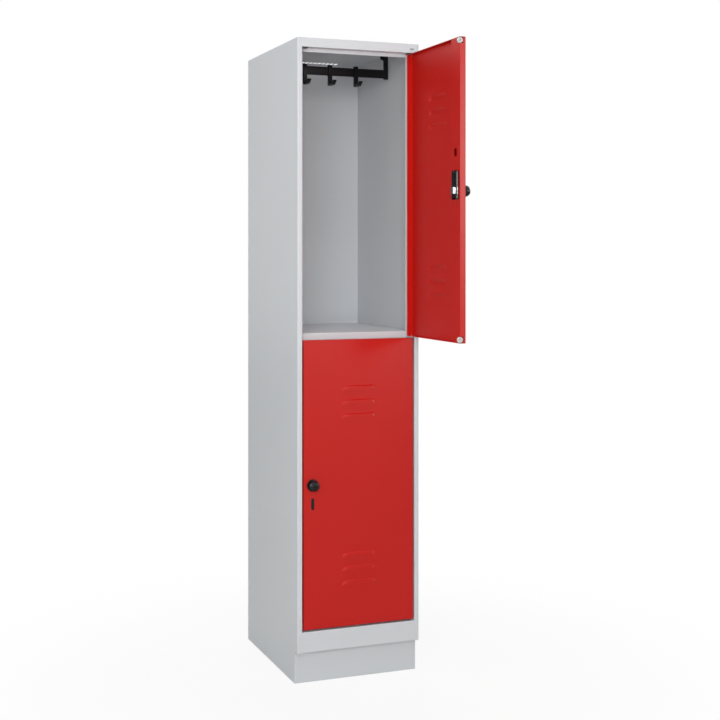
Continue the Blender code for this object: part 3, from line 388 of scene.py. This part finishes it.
screwTree = bpy.data.node_groups.new("pan_head_screws", "GeometryNodeTree")
sockets = screwTree.interface
sockets.new_socket("Spots", in_out="INPUT", socket_type="NodeSocketGeometry")
for key in ("Head Radius", "Head Height", "Recess Width", "Recess Length"):
    sockets.new_socket(key, in_out="INPUT", socket_type="NodeSocketFloat")
sockets.new_socket("Screws", in_out="OUTPUT", socket_type="NodeSocketGeometry")
ask = addNode(screwTree, "NodeGroupInput").outputs
dome = addNode(screwTree, "GeometryNodeMeshUVSphere", {"Segments": 24, "Rings": 12, "Radius": 1.0})
stretch = addNode(screwTree, "ShaderNodeCombineXYZ", None,
                  {"X": ask["Head Radius"], "Y": ask["Head Radius"], "Z": ask["Head Height"]})
head = addNode(screwTree, "GeometryNodeTransform", None, {"Geometry": dome.outputs["Mesh"],
                                                         "Scale": stretch.outputs["Vector"]})
bars = []
for first, second in (("Recess Width", "Recess Length"), ("Recess Length", "Recess Width")):
    span = addNode(screwTree, "ShaderNodeCombineXYZ", None,
                   {"X": ask[first], "Y": ask[second], "Z": ask["Head Height"]})
    bar = addNode(screwTree, "GeometryNodeMeshCube", None, {"Size": span.outputs["Vector"]})
    lift = addNode(screwTree, "ShaderNodeCombineXYZ", None, {"Z": ask["Head Height"]})
    bars.append(addNode(screwTree, "GeometryNodeTransform", None, {"Geometry": bar.outputs["Mesh"],
                                                                  "Translation": lift.outputs["Vector"]}))
for bar in bars:
    head = addNode(screwTree, "GeometryNodeMeshBoolean", None,
                   {"Mesh 1": head.outputs[0], "Mesh 2": bar.outputs["Geometry"]}, operation="DIFFERENCE")
facing = addNode(screwTree, "GeometryNodeInputNamedAttribute", {"Name": "facing"}, data_type="FLOAT_VECTOR")
aim = addNode(screwTree, "FunctionNodeAlignRotationToVector", None,
              {"Vector": facing.outputs["Attribute"]}, axis="Z")
spread = addNode(screwTree, "GeometryNodeInstanceOnPoints", None,
                 {"Points": ask["Spots"], "Instance": head.outputs["Mesh"],
                  "Rotation": aim.outputs["Rotation"]})
real = addNode(screwTree, "GeometryNodeRealizeInstances", None, {"Geometry": spread.outputs["Instances"]})
painted = addNode(screwTree, "GeometryNodeSetMaterial", {"Material": zincPlate},
                  {"Geometry": real.outputs["Geometry"]})
addNode(screwTree, "NodeGroupOutput", None, {"Screws": painted.outputs["Geometry"]})


def setScrews(name, spots, body, finish, slotName):
    mesh = bpy.data.meshes.new(name + "_spots")
    mesh.from_pydata([spot for spot, way in spots], [], [])
    ways = mesh.attributes.new("facing", "FLOAT_VECTOR", "POINT")
    for i, (spot, way) in enumerate(spots):
        ways.data[i].vector = way
    holder = bpy.data.objects.new(name + "_spots", mesh)
    scene.collection.objects.link(holder)
    layer = holder.modifiers.new("screws", "NODES")
    layer.node_group = screwTree
    for item in screwTree.interface.items_tree:
        if item.name in screwLook:
            layer[item.identifier] = screwLook[item.name]
    made = bpy.data.meshes.new_from_object(holder.evaluated_get(bpy.context.evaluated_depsgraph_get()))
    bpy.data.objects.remove(holder)
    bm = bmesh.new()
    bm.from_mesh(made)
    newPiece(name, finishMesh(bm, name, screwLook["crease"]), finish, body, slotName)


spots = []
for tier in ("upper", "lower"):
    for side, word in ((-1, "left"), (1, "right")):
        low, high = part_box("%s_rail_bracket_%s" % (tier, word))
        x = side * (min(abs(low.x), abs(high.x)) + screwLook["bracketIn"])
        for apart in (-screwLook["bracketApart"], screwLook["bracketApart"]):
            spots.append(((x, (low.y + high.y) / 2 + apart, high.z - screwLook["padThick"]), (0, 0, -1)))
setScrews("bracket_screws", spots, "carcass", zincPlate, "zinc_plated_steel")
for door in ("upper", "lower"):
    low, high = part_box(door + "_lock_case")
    place = Vector(turns[door + "_knob_turn"]["pos_m"])
    spots = []
    for up in screwLook["caseUp"]:
        if door == "upper":
            spots.append(((low.x, (low.y + high.y) / 2, place.z + up), (-1, 0, 0)))
        else:
            spots.append((((low.x + high.x) / 2, high.y, place.z + up), (0, 1, 0)))
    setScrews(door + "_case_screws", spots, door + "_door", blackPaint, "black_painted_steel")
print("screws set")


# pressed and bent pieces drawn smooth: the solid's own mesh, merged
# a door's flat sheet stays flat up to its hoods
hoodLook = {"shoulder": 0.003225, "proud": 0.0043, "press": 0.0030, "tall": 0.0155, "taper": 0.004,
            "shoulderLift": 1.4, "seatLift": 1.15, "snap": 0.00001, "below": 0.0005, "standing": 0.0002,
            "square": 0.9995, "panCrease": 35, "hookCrease": 40}


def smoothSkin(node, finish, slotName, angle, plane=None):
    bm = bmesh.new()
    bm.from_mesh(nodes[node].data)
    if plane:  # a hood is a shallow press with an upright face under a sloping top
        place, way = Vector(plane["pos_m"]), Vector(plane["axis"])
        side = way.cross(Vector((0, 0, 1)))
        proud = {vert: (vert.co - place).dot(way) for vert in bm.verts}
        snap, lift, seat = (hoodLook[key] for key in ("snap", "shoulderLift", "seatLift"))
        shoulders = [vert for vert in bm.verts if abs(proud[vert] - hoodLook["shoulder"]) < snap]
        levels = sorted({round(vert.co.z, 5) for vert in shoulders})
        reach = [vert.co.dot(side) for vert in shoulders]
        near, far = min(reach) - hoodLook["taper"], max(reach) + hoodLook["taper"]
        for vert in bm.verts:
            sills = [level for level in levels if -hoodLook["below"] < vert.co.z - level < hoodLook["tall"]]
            if vert in shoulders:
                vert.co += way * (hoodLook["proud"] - proud[vert])
                vert.co.z = min(sills) + (vert.co.z - min(sills)) * lift
            elif sills and abs(proud[vert]) < snap and near < vert.co.dot(side) < far:
                vert.co.z = min(sills) + (vert.co.z - min(sills)) * seat
            if proud[vert] > hoodLook["standing"]:
                vert.co -= way * (vert.co - place).dot(way) * (1 - hoodLook["press"] / hoodLook["proud"])
    mesh = finishMesh(bm, node + "_skin", angle)
    if plane:  # edges of the flat sheet stay sharp, so that it shades flat
        bm = bmesh.new()
        bm.from_mesh(mesh)
        for edge in bm.edges:
            for face in edge.link_faces:
                height = (face.calc_center_median() - place).dot(way)
                square = max(abs(part) for part in face.normal) > hoodLook["square"]
                if height < hoodLook["standing"] and square:
                    edge.smooth = False
        bm.to_mesh(mesh)
        bm.free()
    newPiece(node + "_skin", mesh, finish, bodyOf[node], slotName, node)


for door in ("upper", "lower"):
    smoothSkin(door + "_door_pan", redCoat, "red_powder_coat", hoodLook["panCrease"],
               turns[door + "_knob_turn"])
    for place in ("left", "middle", "right"):
        smoothSkin("%s_hook_%s" % (door, place), blackPaint, "black_painted_steel",
                   hoodLook["hookCrease"])
print("sheet drawn smooth")

# studio: pale floor, soft lamps, white behind
studio = {"floor": 14.0, "floorTone": "CFCFCE", "floorRough": 0.9, "floorDrop": 0.0005,
          "fade": (0.35, 1.5), "white": (0.9, 1.0), "low": 0.0, "high": 0.08, "rise": (-0.3, 0.9)}

bm = bmesh.new()
bmesh.ops.create_circle(bm, cap_ends=True, segments=96, radius=studio["floor"])
floorMesh = bpy.data.meshes.new("studio_floor")
bm.to_mesh(floorMesh)
bm.free()
floor = bpy.data.objects.new("studio_floor", floorMesh)
floor.location = (0, 0, -studio["floorDrop"])
scene.collection.objects.link(floor)
floorMat, tree, shader, coords = newFinish("studio_floor")
shader.inputs["Base Color"].default_value = hexLinear(studio["floorTone"])
shader.inputs["Roughness"].default_value = studio["floorRough"]
reach = addNode(tree, "ShaderNodeVectorMath", None, {0: coords}, operation="LENGTH")
fade = addNode(tree, "ShaderNodeMapRange",
               {"From Min": studio["fade"][0], "From Max": studio["fade"][1],
                "To Min": studio["white"][0], "To Max": studio["white"][1]},
               {"Value": reach.outputs["Value"]}, interpolation_type="SMOOTHSTEP")
rays = addNode(tree, "ShaderNodeLightPath")
seen = addNode(tree, "ShaderNodeMath", None, {0: fade.outputs["Result"], 1: rays.outputs["Is Camera Ray"]},
               operation="MULTIPLY")
white = addNode(tree, "ShaderNodeEmission", {"Color": (1, 1, 1, 1), "Strength": 1.0})
blend = addNode(tree, "ShaderNodeMixShader", None,
                {0: seen.outputs["Value"], 1: shader.outputs["BSDF"], 2: white.outputs["Emission"]})
tree.links.new(blend.outputs["Shader"], tree.nodes["Material Output"].inputs["Surface"])
floorMesh.materials.append(floorMat)

world = bpy.data.worlds.new("studio")
scene.world = world
world.use_nodes = True
tree = world.node_tree
tree.nodes.clear()
rays = addNode(tree, "ShaderNodeLightPath")
direct = addNode(tree, "ShaderNodeMath", None,
                 {0: rays.outputs["Is Camera Ray"], 1: rays.outputs["Is Glossy Ray"]}, operation="MAXIMUM")
direct = addNode(tree, "ShaderNodeMath", None,
                 {0: direct.outputs["Value"], 1: rays.outputs["Is Transmission Ray"]}, operation="MAXIMUM")
# the dome brightens towards the top, so upright faces lose light on their way down
skyCoords = addNode(tree, "ShaderNodeTexCoord").outputs["Generated"]
sky = addNode(tree, "ShaderNodeSeparateXYZ", None, {"Vector": skyCoords})
dome = addNode(tree, "ShaderNodeMapRange",
               {"From Min": studio["rise"][0], "From Max": studio["rise"][1],
                "To Min": studio["low"], "To Max": studio["high"]}, {"Value": sky.outputs["Z"]})
soft = addNode(tree, "ShaderNodeBackground", {"Color": (1, 1, 1, 1)}, {"Strength": dome.outputs["Result"]})
plain = addNode(tree, "ShaderNodeBackground", {"Color": (1, 1, 1, 1), "Strength": 1.0})
both = addNode(tree, "ShaderNodeMixShader", None,
               {0: direct.outputs["Value"], 1: soft.outputs["Background"], 2: plain.outputs["Background"]})
addNode(tree, "ShaderNodeOutputWorld", None, {"Surface": both.outputs["Shader"]})


def softBox(name, place, aim, size, power, shows):
    lamp = bpy.data.lights.new(name, "AREA")
    lamp.shape = "RECTANGLE"
    lamp.size, lamp.size_y = size
    lamp.energy = power
    obj = bpy.data.objects.new(name, lamp)
    obj.location = place
    obj.rotation_euler = (Vector(aim) - Vector(place)).to_track_quat("-Z", "Y").to_euler()
    obj.visible_camera = False
    obj.visible_diffuse = shows != "gloss"
    obj.visible_glossy = shows != "body"
    scene.collection.objects.link(obj)


# soft boxes placed by compass turn and rise about the middle of the locker
# each: turn, rise, watts, and whether it shows in the body colour, the gloss or both
lampLook = {"distance": 4.6, "aim": (0, 0.1, 1.2), "size": (2.2, 2.2), "stripSize": (0.9, 1.0),
            "boxes": {"front": (0, 5, 27, "body"), "front_left_low": (-25, 5, 88, "body"),
                      "front_left": (-25, 25, 27, "body"), "overhead": (-15, 62, 71, "body"),
                      "left": (-50, 8, 20, "both"), "side": (-90, 12, 59, "both"),
                      "right_strip": (27, 8.5, 48, "gloss"), "right": (100, 14, 78, "both"),
                      "rear": (165, 14, 78, "both")}}

for name, (turn, rise, power, shows) in lampLook["boxes"].items():
    turn, rise = math.radians(turn), math.radians(rise)
    way = Vector((math.sin(turn) * math.cos(rise), -math.cos(turn) * math.cos(rise), math.sin(rise)))
    size = lampLook["stripSize"] if shows == "gloss" else lampLook["size"]
    softBox(name, Vector(lampLook["aim"]) + way * lampLook["distance"], lampLook["aim"], size, power, shows)
print("studio set")
